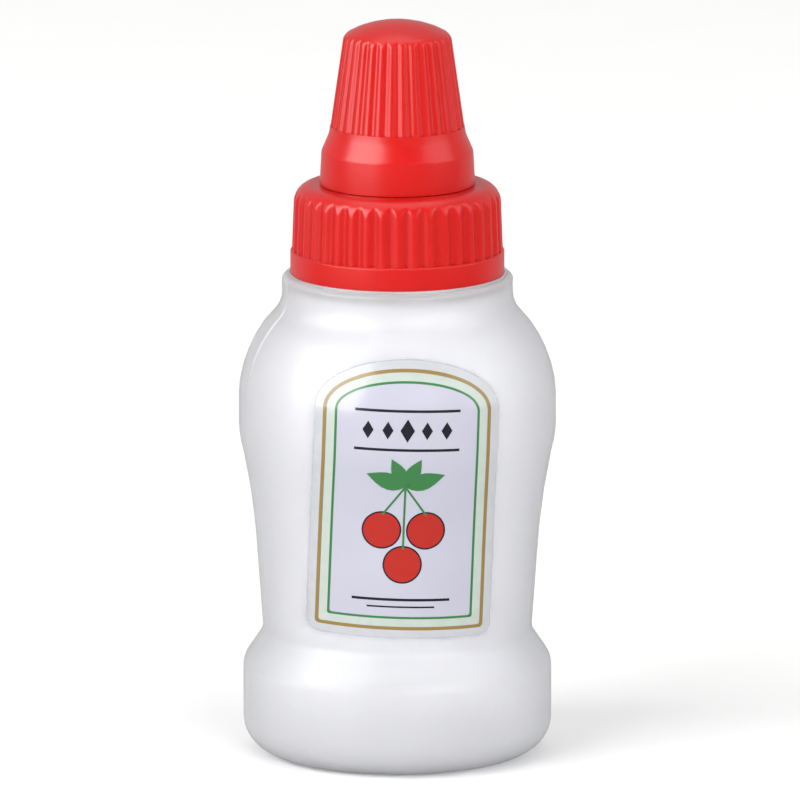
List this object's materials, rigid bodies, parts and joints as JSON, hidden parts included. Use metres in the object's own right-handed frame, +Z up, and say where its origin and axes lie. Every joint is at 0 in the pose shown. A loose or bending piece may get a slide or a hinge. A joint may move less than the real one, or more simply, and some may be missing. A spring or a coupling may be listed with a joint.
{
  "type": "mini squeeze bottle",
  "caption": "Small soft squeeze bottle for sauce, with a ribbed screw closure that carries a pouring nozzle and a ribbed screw cap over the nozzle.",
  "frame": {"origin": "centre of the standing ring, on the surface that the bottle stands on", "axes": "+Z up along the bottle's axis, -Y towards the label, +X to the right of someone who faces the label"},
  "size_m": [0.034, 0.0344, 0.0796],
  "materials": {
    "bottle_ldpe": "frosted, translucent blow-moulded polyethylene",
    "label_film": "glossy printed film",
    "seal_silicone": "smooth moulded silicone",
    "closure_pp": "semi-gloss moulded polypropylene",
    "plug_ldpe": "smooth moulded polyethylene"
  },
  "bodies": {
    "bottle": {"bottle_body": "bottle_ldpe", "front_label": "label_film"},
    "gasket": {"closure_gasket": "seal_silicone"},
    "closure": {"closure_collar": "closure_pp"},
    "plug": {"orifice_plug": "plug_ldpe"},
    "cap": {"nozzle_cap": "closure_pp"}
  },
  "joints": [
    {"name": "closure_rise", "type": "slide", "parent": "bottle", "child": "gasket", "axis": [0, 0, 1], "range_m": [0, 0.01]},
    {"name": "closure_turn", "type": "hinge", "parent": "gasket", "child": "closure", "pos_m": [0, 0, 0.0567], "axis": [0, 0, 1], "range_deg": [0, 900]},
    {"name": "cap_rise", "type": "slide", "parent": "closure", "child": "plug", "axis": [0, 0, 1], "range_m": [0, 0.015]},
    {"name": "cap_turn", "type": "hinge", "parent": "plug", "child": "cap", "pos_m": [0, 0, 0.0639], "axis": [0, 0, 1], "range_deg": [0, 900]}
  ],
  "couplings": [
    {"joint": "closure_turn", "follows": "closure_rise", "rad_per_m": 1570.8},
    {"joint": "cap_turn", "follows": "cap_rise", "rad_per_m": 1047.2}
  ]
}
